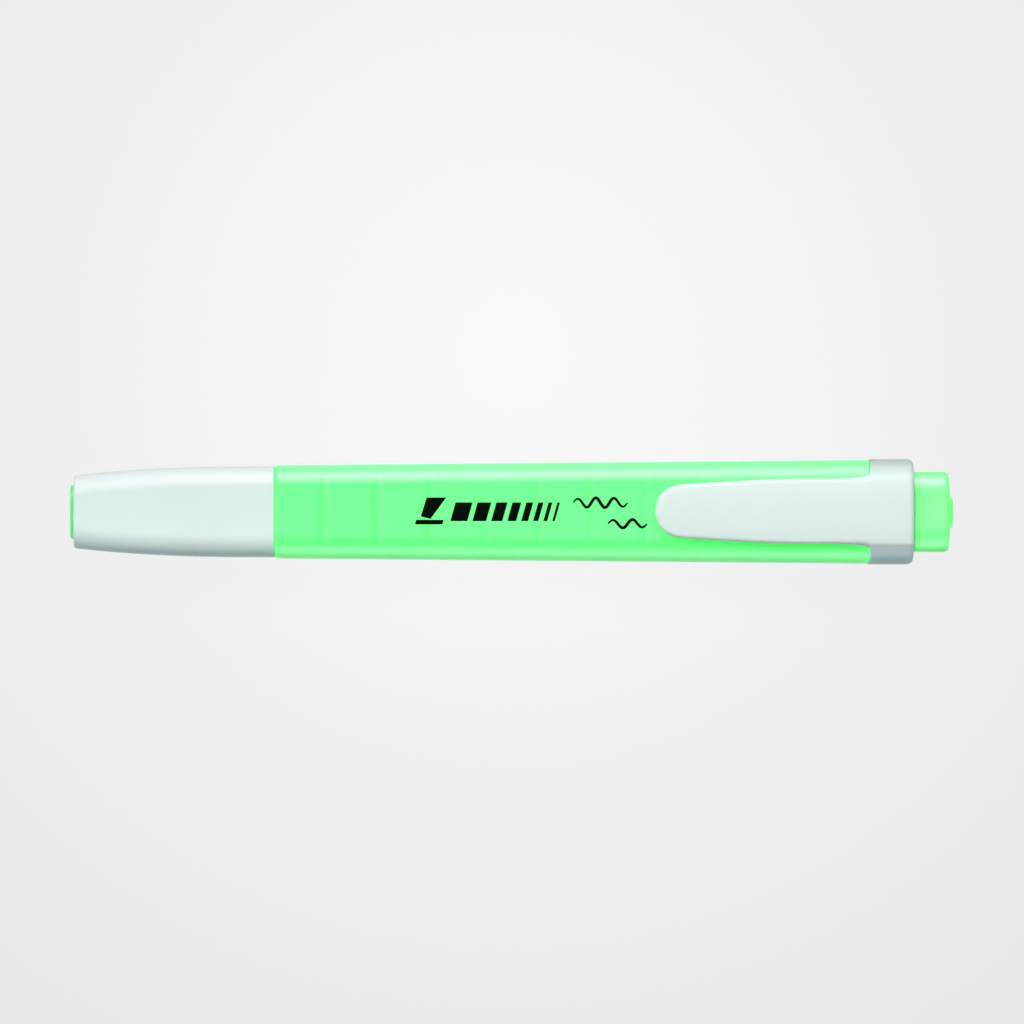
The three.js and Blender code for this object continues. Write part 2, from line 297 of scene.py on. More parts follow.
def remesh(piece, voxel, smoothing):
    """Fuses a piece's overlapping bodies into one skin of even quads and eases its edges."""
    voxels = piece.modifiers.new("fuse", "REMESH")
    voxels.mode = "VOXEL"
    voxels.voxel_size = voxel * MM
    voxels.use_smooth_shade = True
    smooth = piece.modifiers.new("ease", "SMOOTH")
    smooth.factor = 0.5
    smooth.iterations = smoothing
    depsgraph = bpy.context.evaluated_depsgraph_get()
    fused = bpy.data.meshes.new_from_object(piece.evaluated_get(depsgraph))
    piece.modifiers.clear()
    piece.data = fused
    fused.shade_smooth()


# ---- Shader nodes -------------------------------------------------------------------------


class Nodes:
    """A node tree with short calls for the nodes that the looks use."""

    def __init__(self, tree):
        self.tree = tree

    def node(self, kind, inputs=None, **settings):
        made = self.tree.nodes.new(kind)
        for key, value in settings.items():
            setattr(made, key, value)
        for key, value in (inputs or {}).items():
            if isinstance(value, bpy.types.NodeSocket):
                self.tree.links.new(value, made.inputs[key])
            else:
                made.inputs[key].default_value = value
        return made

    def ranged(self, value, low, high, start=0.3, end=0.7):
        """Maps a value from start..end to low..high."""
        inputs = {"Value": value, "From Min": start, "From Max": end, "To Min": low, "To Max": high}
        return self.node("ShaderNodeMapRange", inputs).outputs["Result"]

    def maths(self, operation, *values):
        return self.node("ShaderNodeMath", dict(enumerate(values)), operation=operation).outputs[0]

    def away(self, value, place):
        """How far a value is from a place."""
        return self.maths("ABSOLUTE", self.maths("SUBTRACT", value, place))


class Look(Nodes):
    """A Principled material."""

    def __init__(self, name, **values):
        self.material = bpy.data.materials.new(name)
        self.material.use_nodes = True
        super().__init__(self.material.node_tree)
        self.base = self.tree.nodes["Principled BSDF"]
        for key, value in values.items():
            self.base.inputs[key.replace("_", " ")].default_value = value

    def place(self, stretch=(1, 1, 1)):
        """The point on the piece in millimetres, each axis multiplied by its stretch."""
        coordinates = self.node("ShaderNodeTexCoord").outputs["Object"]
        scale = tuple(s / MM for s in stretch)
        return self.node("ShaderNodeMapping", {"Vector": coordinates, "Scale": scale}).outputs[0]

    def places(self):
        """The point on the piece in millimetres, as its X, Y and Z."""
        split = self.node("ShaderNodeSeparateXYZ", {"Vector": self.place()})
        return tuple(split.outputs)

    def noise(self, feature, detail=2.0, stretch=(1, 1, 1), roughness=0.5):
        """Noise from 0 to 1 whose features are about so many millimetres across."""
        inputs = {
            "Vector": self.place(stretch),
            "Scale": 1 / feature,
            "Detail": detail,
            "Roughness": roughness,
        }
        return self.node("ShaderNodeTexNoise", inputs).outputs["Fac"]

    def mixed(self, share, first, second):
        """A colour between two colours, each a socket or three numbers."""
        colors = [c if isinstance(c, bpy.types.NodeSocket) else (*c, 1) for c in (first, second)]
        mix = self.node("ShaderNodeMix", {0: share, 6: colors[0], 7: colors[1]}, data_type="RGBA")
        return mix.outputs[2]

    def bump(self, height, depth, strength=1.0, over=None):
        """A bump of so many millimetres, laid over another bump."""
        inputs = {"Height": height, "Distance": depth * MM, "Strength": strength}
        if over is not None:
            inputs["Normal"] = over
        return self.node("ShaderNodeBump", inputs).outputs["Normal"]

    def drive(self, socket, value):
        self.tree.links.new(value, self.base.inputs[socket])


# ---- Materials ----------------------------------------------------------------------------


def shade(color, factor):
    return tuple(min(1.0, c * factor) for c in color)


def lighter(color, amount):
    return tuple(min(1.0, c + amount) for c in color)


def deeper(color, times=1):
    """The same green with less red and blue in it."""
    return (color[0] * 0.7**times, color[1], color[2] * 0.75**times)


def cooler(color, times=1):
    return (color[0] * 0.96**times, color[1], color[2] * 1.02**times)


def neutral(color):
    """Nearly grey, as bright as the colour's red and a little more."""
    return (color[0] * 1.02, color[0] * 1.08, color[0] * 1.09)


def with_ribs(look, tint, color, along, from_side):
    """Faint bands, dark with a light line behind, where ribs inside the barrel touch its wall."""
    from_first = look.maths("DIVIDE", look.maths("SUBTRACT", along, RIB_FIRST), RIB_PITCH)
    phase = look.maths("SUBTRACT", look.maths("FRACT", look.maths("ADD", from_first, 0.5)), 0.5)
    offset = look.maths("MULTIPLY", phase, RIB_PITCH)
    fading = look.ranged(along, 0.75, 0.4, -22, 0)
    fading = look.maths("MULTIPLY", fading, look.ranged(from_side, 0, 1, 1.6, 2.6))
    dark = look.ranged(look.maths("ABSOLUTE", offset), 1, 0, 0.3, 0.8)
    light = look.ranged(look.away(offset, 1.0), 0.6, 0, 0.15, 0.5)
    tint = look.mixed(look.maths("MULTIPLY", dark, fading), tint, deeper(color))
    return look.mixed(look.maths("MULTIPLY", light, fading), tint, lighter(color, 0.08))


def green_plastic(
    name, color, halves, glow=(0.45, 0.58), rim=0.75, dark_rim=False, contacts=(), tail=None, ribbed=False
):
    """Glossy fluorescent plastic that shines with a painted glow, most of all along its four edges.

    halves is half the piece's width at the barrel's shoulder and at its step, and glow is how
    brightly its faces and its edges shine with that painted glow. rim is how much of the edges'
    extra glow is left at the piece's very side, and dark_rim paints shade along that side.
    contacts are the places along the pen where another piece keeps the light off it, each with
    how much painted shade it leaves. From tail onwards the piece is darker, painted shade on its
    rounded end. ribbed is for the barrel, with its ribs, its neck and a painted highlight on its
    shoulder's rim.
    """
    look = Look(
        name,
        Subsurface_Weight=1.0,
        Subsurface_Radius=(0.25, 2.2, 0.5),
        Subsurface_Scale=MM,
        IOR=1.5,
        Specular_IOR_Level=0.8,
    )
    along, across, up = look.places()
    half = look.ranged(along, *halves, SHOULDER, STEP)
    if ribbed:
        neck = look.ranged(along, 1, 0, SHOULDER - 0.05, SHOULDER)
        half = look.maths("SUBTRACT", half, look.maths("MULTIPLY", neck, halves[0] - NECK_SIZE[0] / 2))
    from_side = look.maths("SUBTRACT", half, look.maths("ABSOLUTE", across))
    shady_side = look.ranged(across, 1, 0, -3, -2)

    # Painted glow along the four edges, standing in for highlights and light through the plastic.
    near_side = look.ranged(from_side, 1, 0, 1.2, 2.2)
    edge = look.maths("MULTIPLY", near_side, look.ranged(look.away(up, AXIS_Z), 0, 1, 1.5, 4))
    edge = look.maths("MULTIPLY", edge, look.ranged(from_side, rim, 1, 0, 0.9))
    if ribbed:
        # Painted highlight on the rim of the barrel's shoulder.
        front_edge = look.ranged(along, 1, 0, SHOULDER + 0.3, SHOULDER + 0.8)
        edge = look.maths("MAXIMUM", edge, look.maths("SUBTRACT", front_edge, neck))
    # Painted shade: less glow near the side away from the key.
    shaded = look.maths("MULTIPLY", look.ranged(from_side, 0.65, 0, 0, 1.0), shady_side)
    strength = look.maths("MULTIPLY", look.ranged(edge, *glow, 0, 1), look.maths("SUBTRACT", 1.0, shaded))

    cloud = look.noise(9.0, 3.0, (0.5, 1, 1))
    tint = look.mixed(look.ranged(cloud, 0, 1), shade(color, 0.98), shade(color, 1.02))
    # Painted light: the faces turn lighter towards the -Y side.
    tint = look.mixed(look.ranged(across, 1, 0, -4, 4), tint, lighter(color, 0.05))
    # Painted shade: a darker band along the rounded edge on the -Y side.
    shade_band = look.ranged(look.away(from_side, 2.65), 1, 0, 0.1, 1.0)
    tint = look.mixed(look.maths("MULTIPLY", shade_band, shady_side), tint, deeper(color))
    # Painted shade: darker towards the rounded rear end.
    if tail is not None:
        tint = look.mixed(look.ranged(along, 0, 1, tail, tail + 0.7), tint, deeper(color, 3))
    if ribbed:
        tint = with_ribs(look, tint, color, along, from_side)
    # Painted shade: the very side turns darker and glows less.
    if dark_rim:
        outline = look.ranged(from_side, 1, 0, 0.1, 0.9)
        strength = look.maths("MULTIPLY", strength, look.maths("MULTIPLY_ADD", outline, -0.3, 1.0))
        tint = look.mixed(outline, tint, deeper(color, 2))
    for contact, depth in contacts:
        near = look.ranged(look.away(along, contact), depth, 0, 0.15, 0.7)
        strength = look.maths("MULTIPLY", strength, look.maths("MULTIPLY_ADD", near, -0.7, 1.0))
        tint = look.mixed(near, tint, shade(lighter(color, 0.06), 0.6))

    look.drive("Base Color", tint)
    # The emission is painted light: the plastic glows though it is no lamp.
    look.drive("Emission Color", look.mixed(edge, (0.17, 1.0, 0.26), (0.22, 1.0, 0.31)))
    look.drive("Emission Strength", strength)
    look.drive("Roughness", look.ranged(look.noise(2.5, 4.0, (0.3, 1, 1)), 0.3, 0.36))
    ripple = look.bump(look.noise(6.0, 1.0, (0.4, 1, 1)), 0.008, 0.5)
    look.drive("Normal", look.bump(look.noise(0.12, 2.0), 0.002, 0.5, ripple))
    return look.material


def pale_plastic(name, color, lean=0.0, gloss=0.4, wide=False):
    """Satin moulded plastic with a fine spark-eroded grain.

    lean is how far its two sides differ in painted light: towards one side it turns paler and
    cooler, and along the other it is nearly neutral, a painted highlight. A wide piece gets
    painted shade on the sides that stand out past the barrel.
    """
    look = Look(
        name,
        IOR=1.5,
        Specular_IOR_Level=gloss,
        Subsurface_Weight=0.25,
        Subsurface_Radius=(0.5, 0.7, 0.6),
        Subsurface_Scale=MM,
    )
    across = look.places()[1]
    cloud = look.noise(11.0, 3.0)
    tint = look.mixed(look.ranged(cloud, 0, 1), shade(color, 0.99), shade(color, 1.01))
    # Painted light: paler and cooler towards the -Y side.
    tint = look.mixed(look.ranged(across, lean, 0, -3.5, 3.5), tint, cooler(shade(color, 1.18)))
    # Painted highlight: nearly neutral along the +Y side.
    tint = look.mixed(look.ranged(across, 0, 1.7 * lean, 3.2, 4.8), tint, neutral(color))
    # Painted shade: cooler along the -Y edge.
    tint = look.mixed(look.ranged(across, 1, 0, -6.2, -5.0), tint, cooler(color, 2))
    # Painted shade on the flanks that stand out past the barrel.
    if wide:
        one_side = look.maths("POWER", look.ranged(across, 0, 1, 4.3, 8.0), 1.6)
        other_side = look.ranged(across, 0.4, 0, -8.0, -7.2)
        tint = look.mixed(look.maths("MAXIMUM", one_side, other_side), tint, shade(color, 0.58))
    look.drive("Base Color", tint)
    look.drive("Roughness", look.ranged(look.noise(1.8, 4.0), 0.4, 0.48))
    ripple = look.bump(look.noise(5.0, 1.0), 0.008, 0.4)
    look.drive("Normal", look.bump(look.noise(0.16, 3.0), 0.005, 0.6, ripple))
    return look.material


def fibre(name, dry, wet, strand):
    """Bonded fibres that run along the pen, wet with ink in places."""
    look = Look(name, Roughness=0.85, IOR=1.4, Sheen_Weight=0.15)
    strands = look.noise(strand, 4.0, (0.06, 1, 1), 0.6)
    soak = look.noise(1.6, 2.0, (0.5, 1, 1))
    tone = look.maths("MULTIPLY_ADD", strands, 0.6, look.maths("MULTIPLY", soak, 0.4))
    look.drive("Base Color", look.mixed(look.ranged(tone, 0, 1), wet, dry))
    look.drive("Roughness", look.ranged(soak, 0.6, 0.95))
    pores = look.bump(look.noise(0.09, 3.0), 0.03, 0.6)
    look.drive("Normal", look.bump(strands, 0.05, 0.8, pores))
    return look.material


def clear_film(name):
    look = Look(name, Roughness=0.15, IOR=1.5, Transmission_Weight=0.6)
    crinkle = look.noise(2.2, 3.0, (0.4, 1, 1))
    look.drive("Base Color", look.mixed(crinkle, (0.55, 0.9, 0.62), (0.75, 0.95, 0.8)))
    look.drive("Normal", look.bump(crinkle, 0.05, 0.5))
    return look.material


def printing_ink(name):
    look = Look(name, IOR=1.35, Specular_IOR_Level=0.15)
    speckle = look.noise(0.15, 3.0)
    look.drive("Base Color", look.mixed(speckle, (0.0005, 0.003, 0.001), (0.001, 0.005, 0.002)))
    look.drive("Roughness", look.ranged(speckle, 0.18, 0.26))
    look.drive("Normal", look.bump(speckle, 0.003, 0.5))
    return look.material


barrel_green = green_plastic(
    "barrel_green",
    (0.1, 0.95, 0.22),
    halves=(BARREL_FRONT_SIZE[0] / 2, BARREL_REAR_SIZE[0] / 2),
    contacts=((CAP_MOUTH, 0.4),),
    ribbed=True,
)
plug_green = green_plastic(
    "plug_green",
    (0.235, 0.96, 0.32),
    halves=(STUB_SIZE[0] / 2, STUB_SIZE[0] / 2),
    rim=0.2,
    dark_rim=True,
    contacts=((RING_REAR, 1.0),),
    tail=STUB_REAR - 0.7,
)
liner_green = green_plastic(
    "liner_green",
    (0.19, 0.93, 0.3),
    halves=(DISC_SIZE[0], DISC_SIZE[0]),  # twice the true halves, so that it stays one even tone
    glow=(0.17, 0.17),
    contacts=((CAP_END, 0.4),),
)
cap_pale = pale_plastic("cap_pale", (0.705, 0.835, 0.805), lean=0.45)
clip_pale = pale_plastic("clip_pale", (0.765, 0.89, 0.85), gloss=0.22, wide=True)
nib_fibre = fibre("nib_fibre", (0.3, 0.88, 0.4), (0.12, 0.72, 0.22), 0.1)
core_fibre = fibre("core_fibre", (0.35, 0.9, 0.45), (0.15, 0.75, 0.25), 0.2)
film_clear = clear_film("film_clear")
print_black = printing_ink("print_black")


def put(piece, material, body, slot, *nodes):
    """Gives a piece its material and its body, and hides the CAD nodes that it stands for."""
    piece.data.materials.clear()
    piece.data.materials.append(material)
    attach(piece, body)
    if nodes:
        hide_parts(*nodes)


# ---- Cap ----------------------------------------------------------------------------------


def from_mouth(x):
    """0 at the cap's mouth, 1 at its end."""
    return max(0.0, CAP_MOUTH - x) / (CAP_MOUTH - CAP_END)


def cap_wall(x):
    return CAP_WALL[0] + (CAP_WALL[1] - CAP_WALL[0]) * from_mouth(x)


def cap_station(x, wall=0.0, fillet=0.0):
    outer = between(CAP_MOUTH_SIZE, CAP_END_SIZE, from_mouth(x) ** CAP_BULGE)
    return (x, *inset(outer, wall), CAP_CORNER - wall, fillet)


def cap_shell():
    floor = CAP_END + CAP_WALL[1]
    opening = (*inset(DISC_SIZE, -FIT), 2.2)
    outside = [cap_station(x) for x in np.linspace(CAP_MOUTH - 1, CAP_END + 1.2, 26)]
    inside = [cap_station(x, cap_wall(x)) for x in np.linspace(floor + 1, CAP_MOUTH - 1, 20)]
    path = [
        cap_station(CAP_MOUTH, fillet=0.22),
        *outside,
        cap_station(CAP_END, fillet=0.34),
        (CAP_END, *opening, 0.12),
        (floor, *opening, 0.1),
        cap_station(floor, CAP_WALL[1], 0.3),
        *inside,
        cap_station(CAP_MOUTH, CAP_WALL[0], 0.15),
    ]
    return lofted("cap_shell_piece", path, closed=True)


def cap_liner():
    """The inner cap: an end disc, a flange behind it, and the tube that seals on the nib holder."""
    flange_front = CAP_END + CAP_WALL[1] + 0.2
    flange_size = inset(DISC_SIZE, -0.25)
    bore_end = DISC_FACE + 1.5
    path = [
        (DISC_FACE, *inset(DISC_SIZE, 2.2), 0.9, 0),
        (DISC_FACE, *inset(DISC_SIZE, 1.0), 1.5, 0.3),
        (DISC_FACE, *DISC_SIZE, DISC_CORNER, 0.32),
        (flange_front, *DISC_SIZE, DISC_CORNER, 0.1),
        (flange_front, *flange_size, DISC_CORNER, 0.1),
        (flange_front + 1, *flange_size, DISC_CORNER, 0.1),
        (flange_front + 1.4, *DISC_SIZE, 2.0, 0.2),
        (LINER_MOUTH, *LINER_SIZE, 2.0, 0.25),
        (LINER_MOUTH, *LINER_BORE_SIZE, 1.5, 0.2),
        (bore_end, *LINER_BORE_SIZE, 1.5, 0.4),
        (bore_end, *inset(LINER_BORE_SIZE, 2.0), 0.5, 0),
    ]
    return lofted("cap_liner_piece", path, crown=0.03)


put(cap_shell(), cap_pale, "cap", "pale_plastic", "cap_shell")
put(cap_liner(), liner_green, "cap", "body_plastic", "cap_liner")

# ---- Barrel and end plug ------------------------------------------------------------------


def barrel_top(x, y):
    """Height of the barrel's upper face above the pen's axis."""
    width, depth = between(BARREL_FRONT_SIZE, BARREL_REAR_SIZE, (x - SHOULDER) / (STEP - SHOULDER))
    return depth / 2 + FLAT_CROWN * (1 - (2 * y / width) ** 2)


def barrel():
    path = [
        (NECK_FRONT, *NECK_SIZE, NECK_CORNER, 0.35),
        (NECK_BEAD - 0.7, *inset(NECK_SIZE, -0.04), NECK_CORNER, 0.3),
        (NECK_BEAD - 0.2, *inset(NECK_SIZE, -0.14), NECK_CORNER, 0.2),
        (NECK_BEAD + 0.2, *inset(NECK_SIZE, -0.14), NECK_CORNER, 0.2),
        (NECK_BEAD + 0.7, *inset(NECK_SIZE, -0.06), NECK_CORNER, 0.3),
        (SHOULDER, *inset(NECK_SIZE, -0.1), NECK_CORNER, 0.05),
        (SHOULDER, *BARREL_FRONT_SIZE, BARREL_CORNER, 0.5),
        (STEP, *BARREL_REAR_SIZE, BARREL_CORNER, 0.15),
        (STEP, *SEAT_SIZE, SEAT_CORNER, 0.15),
        (SEAT_REAR, *SEAT_SIZE, SEAT_CORNER, 0.2),
        (SEAT_REAR, *BORE_SIZE, BORE_CORNER, 0.1),
        (CORE_FRONT - 1, *BORE_SIZE, BORE_CORNER, 0.5),
        (CAP_MOUTH, *NECK_BORE_SIZE, 1.9, 0.5),
        (NECK_FRONT, *NECK_BORE_SIZE, 1.9, 0.15),
    ]
    return lofted("barrel_piece", path, closed=True)


def end_plug():
    """A hollow skirt inside the barrel, the stub behind the collar, and the nub on its end."""
    skirt = inset(BORE_SIZE, FIT)
    hollow = inset(skirt, STUB_WALL)
    hollow_end = STUB_REAR - STUB_WALL
    stub_front = SEAT_REAR + 0.2
    path = [
        (hollow_end, *inset(hollow, 3), 0.4, 0),
        (hollow_end, *hollow, 1.0, 0.5),
        (PLUG_FRONT, *hollow, 1.0, 0.15),
        (PLUG_FRONT, *skirt, 2.1, 0.3),
        (stub_front, *skirt, 2.1, 0.05),
        (stub_front, *STUB_SIZE, 2.6, 0.1),
        (STUB_REAR - 0.1, *STUB_SIZE, 2.6, 0.9),
        (STUB_REAR, *inset(NUB_SIZE, -1.4), 1.4, 0.25),
        (STUB_REAR + 0.08, *inset(NUB_SIZE, -0.55), 1.3, 0.15),
        (NUB_FACE - 0.06, *NUB_SIZE, 1.2, 0.22),
        (NUB_FACE, *inset(NUB_SIZE, 0.9), 0.7, 0.2),
        (NUB_FACE, *inset(NUB_SIZE, 1.3), 0.2, 0),
    ]
    return lofted("end_plug_piece", path)


put(barrel(), barrel_green, "pen", "body_plastic", "barrel")
put(end_plug(), plug_green, "pen", "body_plastic", "end_plug")

# ---- Nib, nib holder and ink reservoir ----------------------------------------------------


def nib_section():
    """The nib holder: a nose round the nib, a cone, a flange on the neck's end and a plug inside it."""
    flange_rear = NECK_FRONT - 0.2
    flange_front = flange_rear - HOLDER_FLANGE_LENGTH
    plug_size = inset(NECK_BORE_SIZE, FIT)
    slot_size = inset(NIB_SIZE, -FIT)
    path = [
        (NOSE_FRONT, *NOSE_FRONT_SIZE, 1.4, 0.4),
        (LINER_MOUTH + 0.5, *NOSE_REAR_SIZE, 1.5, 1.2),
        (flange_front - 1.2, *CONE_SIZE, 1.9, 0.6),
        (flange_front, *HOLDER_SIZE, 1.9, 0.3),
        (flange_front, *HOLDER_FLANGE_SIZE, 2.2, 0.2),
        (flange_rear, *HOLDER_FLANGE_SIZE, 2.2, 0.12),
        (flange_rear, *plug_size, 1.8, 0.1),
        (SECTION_REAR, *plug_size, 1.8, 0.4),
        (SECTION_REAR, *slot_size, 0.9, 0.1),
        (NOSE_FRONT, *slot_size, 0.9, 0.12),
    ]
    return lofted("nib_section_piece", path, closed=True, crown=0.04)


def cut_slanted(piece):
    """Cuts the rod off on a slant, at NIB_CUT_PLACE, and closes the cut."""
    bm = bmesh.new()
    bm.from_mesh(piece.data)
    level = math.cos(NIB_CUT_SLANT)
    normal = (
        -level * math.cos(NIB_CUT_SKEW),
        level * math.sin(NIB_CUT_SKEW),
        math.sin(NIB_CUT_SLANT),
    )
    cut = bmesh.ops.bisect_plane(
        bm,
        geom=bm.verts[:] + bm.edges[:] + bm.faces[:],
        plane_co=(NIB_CUT_PLACE * MM, 0, AXIS_Z * MM),
        plane_no=normal,
        clear_outer=True,
    )
    edges = [e for e in cut["geom_cut"] if isinstance(e, bmesh.types.BMEdge)]
    bmesh.ops.edgeloop_fill(bm, edges=edges)
    bmesh.ops.recalc_face_normals(bm, faces=bm.faces)
    bm.to_mesh(piece.data)
    bm.free()


def nib():
    """A fibre rod cut on a slant, with its cut edges worn soft."""
    path = [
        (NIB_TIP - 2, *NIB_SIZE, 0.8, 0),
        (NIB_TAIL - 3, *NIB_SIZE, 0.8, 0.5),
        (NIB_TAIL, *inset(NIB_SIZE, 0.6), 0.4, 0),
    ]
    piece = lofted("nib_piece", path, crown=0.02)
    cut_slanted(piece)
    remesh(piece, voxel=0.12, smoothing=3)
    return piece


def reservoir_core():
    end_size = inset(CORE_SIZE, 2.5)
    path = [
        (CORE_FRONT, *end_size, 0.9, 0),
        (CORE_FRONT, *CORE_SIZE, 2.6, 0.5),
        (CORE_REAR, *CORE_SIZE, 2.6, 0.5),
        (CORE_REAR, *end_size, 0.9, 0),
    ]
    return lofted("reservoir_core_piece", path)


def reservoir_film():
    inside = inset(CORE_SIZE, -FILM_GAP)
    outside = inset(inside, -FILM_THICK)
    front, rear = span("reservoir_film", 0)
    path = [
        (front, *outside, 2.9, 0.05),
        (rear, *outside, 2.9, 0.05),
        (rear, *inside, 2.7, 0.05),
        (front, *inside, 2.7, 0.05),
    ]
    return lofted("reservoir_film_piece", path, closed=True)


put(nib_section(), cap_pale, "pen", "pale_plastic", "nib_section")
put(nib(), nib_fibre, "pen", "nib_fibre", "nib")
put(reservoir_core(), core_fibre, "pen", "reservoir_fibre", "reservoir_core")
put(reservoir_film(), film_clear, "pen", "film", "reservoir_film")

# ---- Collar and clip ----------------------------------------------------------------------


def crowned(y):
    """How much higher than its edges the clip's upper face stands at y."""
    return CLIP_CROWN * np.clip(1 - (y / PLATEAU_HALF) ** 2, 0, 1)


def collar_loop(x, inward):
    """The collar's outline at x, drawn in by inward: a plateau on top, a sloping facet each side of it."""
    half, base = COLLAR_WIDTH / 2 - inward, inward - AXIS_Z
    top = PLATEAU_TOP - inward - 0.02
    facet_foot = top - (half - PLATEAU_HALF) * FACET_SLOPE
    corners = mirrored([(half, base, 3.6), (half, facet_foot, 2.4), (PLATEAU_HALF, top, 0.22)])
    outline = eased_outline(corners)
    outline[:, 1] += crowned(outline[:, 0]) * (outline[:, 1] > top - 0.3)
    return np.insert(outline, 0, x, axis=1)


def bore_loop(x, width, depth, radius):
    """The same number of points as a collar loop, round an opening."""
    half_width, half_depth = width / 2, depth / 2
    corners = mirrored([
        (half_width, -half_depth, radius),
        (half_width, half_depth, radius),
        (0.3, half_depth, 0.1),
    ])
    return np.insert(eased_outline(corners), 0, x, axis=1)


def collar(bm):
    """The collar as one closed skin: outside, rear wall, opening, seat and front face."""
    seat = (*inset(SEAT_SIZE, -FIT), SEAT_CORNER)
    opening = (*inset(STUB_SIZE, -0.22), 2.5)
    wall = SEAT_REAR + 0.2
    edge_start = RING_REAR - COLLAR_EDGE
    loops = [collar_loop(COLLAR_FRONT, 0.1), collar_loop(COLLAR_FRONT + 0.1, 0)]
    loops += [collar_loop(x, 0) for x in np.linspace(COLLAR_FRONT + 0.5, edge_start, 8)]
    for angle in np.linspace(0, math.pi / 2, 9)[1:]:
        x = edge_start + COLLAR_EDGE * math.sin(angle)
        loops.append(collar_loop(x, COLLAR_EDGE * (1 - math.cos(angle))))
    loops += [bore_loop(RING_REAR, *opening), bore_loop(wall, *opening)]
    loops += [bore_loop(wall, *seat), bore_loop(COLLAR_FRONT, *seat)]
    skin(bm, loops, closed=True)


def tongue_half(x):
    """Half the clip's width at x: a blunt round tip whose flanks widen towards the collar."""
    from_tip = x - TONGUE_TIP
    widened = 1 - (1 - min(1, max(0, from_tip - 2) / 20)) ** 1.45
    flank = TIP_HALF + (PLATEAU_HALF - TIP_HALF) * widened
    return flank * math.sqrt(max(0, 1 - max(0, 1 - from_tip / TIP_ROUND) ** 3))


def tongue_flare(x):
    """How far the foot of the clip's side stands out at x, where it runs into the collar."""
    if x > COLLAR_FRONT + 0.4:
        return 0
    from_collar = max(0, COLLAR_FRONT - x)
    slope = 0.6 * max(0, 1 - from_collar / 6) ** 1.6
    corner = max(0, 1 - from_collar / FOOT_FILLET)
    return slope + FOOT_FILLET * (1 - math.sqrt(1 - min(1, corner) ** 2))


def tongue(bm):
    """The clip's blade, skinned from its underside to its top and run into the collar."""
    root = RING_REAR - 1.2
    turns = np.linspace(0, math.pi / 2, 22)
    foot = COLLAR_FRONT - FOOT_FILLET
    stations = [
        *(TONGUE_TIP + TIP_ROUND * (1 - np.cos(turns))),
        *np.linspace(TONGUE_TIP + TIP_ROUND + 1, foot, 26),
        *np.linspace(foot, COLLAR_FRONT, 9)[1:],
        COLLAR_FRONT + 0.3,
        COLLAR_FRONT + 0.5,
        COLLAR_FRONT + 2,
        root,
    ]
    side = np.array([(x, tongue_half(x), tongue_flare(x)) for x in stations])
    other_side = side[:0:-1] * (1, -1, -1)
    outline = np.concatenate((side, other_side))
    flare = outline[:, 2]
    spine = np.clip(outline[:, 0], TONGUE_TIP + TIP_ROUND, root - 2)
    middle = np.column_stack((spine, 0 * spine))

    def loop(inward, share):
        """The blade's outline drawn in by inward, share of the way from its underside to its top."""
        rim = outline[:, :2] + np.column_stack((0 * flare, flare * (1 - share) ** 0.8))
        toward = middle - rim
        distance = np.linalg.norm(toward, axis=1)[:, None]
        moved = rim + toward * np.minimum(inward / distance, 0.98)
        back = np.clip((COLLAR_FRONT - moved[:, 0]) / TONGUE_LENGTH, 0, 1)
        thick = TONGUE_THICK[0] + (TONGUE_THICK[1] - TONGUE_THICK[0]) * back
        height = PLATEAU_TOP - TONGUE_DROP * back - thick * (1 - share)
        return np.column_stack((moved, height + crowned(moved[:, 1]) * (share > 0.5)))

    underside = [(3.5, 0), (1.2, 0), (0.3, 0), (0.1, 0.04)]
    flank = [(0, share) for share in (0.15, 0.3, 0.45, 0.6, 0.7)]
    top_edge = [(0.04, 0.8), (0.14, 0.9), (0.32, 0.97), (0.6, 1)]
    top = [(inward, 1) for inward in (1, 1.8, 2.6, 3.5)]
    skin(bm, [loop(*step) for step in underside + flank + top_edge + top], closed=False)


def pad(bm):
    """The low bump under the clip's tip that grips what it is clipped to."""
    loops = []
    for height, drawn_in in ((1.0, 0), (0.3, 0), (0.12, 0.12), (0.03, 0.4), (0, 0.8)):
        outline = section(*inset(PAD_SIZE, drawn_in), 1.2, crown=0)
        loops.append(np.insert(outline + (PAD_CENTRE, 0), 2, PAD_FACE + height, axis=1))
    skin(bm, loops, closed=False)


def clip():
    bm = bmesh.new()
    collar(bm)
    tongue(bm)
    pad(bm)
    piece = finish_mesh("clip_piece", bm)
    remesh(piece, voxel=0.14, smoothing=3)
    return piece


clip_piece = clip()
clip_piece.data.materials.append(clip_pale)
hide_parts("clip_ring", "clip_tongue")
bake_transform(clip_piece)

# ---- Printed motif: a plain block over a line, slanted bars and waves, with no lettering ----

PRINT_THICK = 0.02
SLANT_STEPS = 5
WAVE_STEPS = 60
BAR_WIDTHS = (2.6, 2.1, 1.7, 1.35, 1.05, 0.8, 0.6, 0.4)
BAR_GAP = 0.76


def edge_of(rows):
    """The vertices round the edge of a grid."""
    last = [row[-1] for row in rows[1:-1]]
    first = [row[0] for row in rows[-2:0:-1]]
    return rows[0] + last + rows[-1][::-1] + first


def printed(name, outlines):
    """Thin printed shapes laid on the barrel's upper face. Each outline is two matching edges."""
    bm = bmesh.new()
    across = np.linspace(0, 1, 7)[:, None, None]
    for first, second in outlines:
        grid = first * (1 - across) + second * across
        edges = []
        for height in (PRINT_THICK, -PRINT_THICK):
            rows = [[bm.verts.new((x, y, barrel_top(x, y) + height)) for x, y in row] for row in grid]
            for row, following in zip(rows, rows[1:]):
                for corners in zip(row, row[1:], following[1:], following):
                    bm.faces.new(corners)
            edges.append(edge_of(rows))
        band(bm, *edges)
    piece = finish_mesh(name, bm)
    piece.data.shade_flat()
    return piece


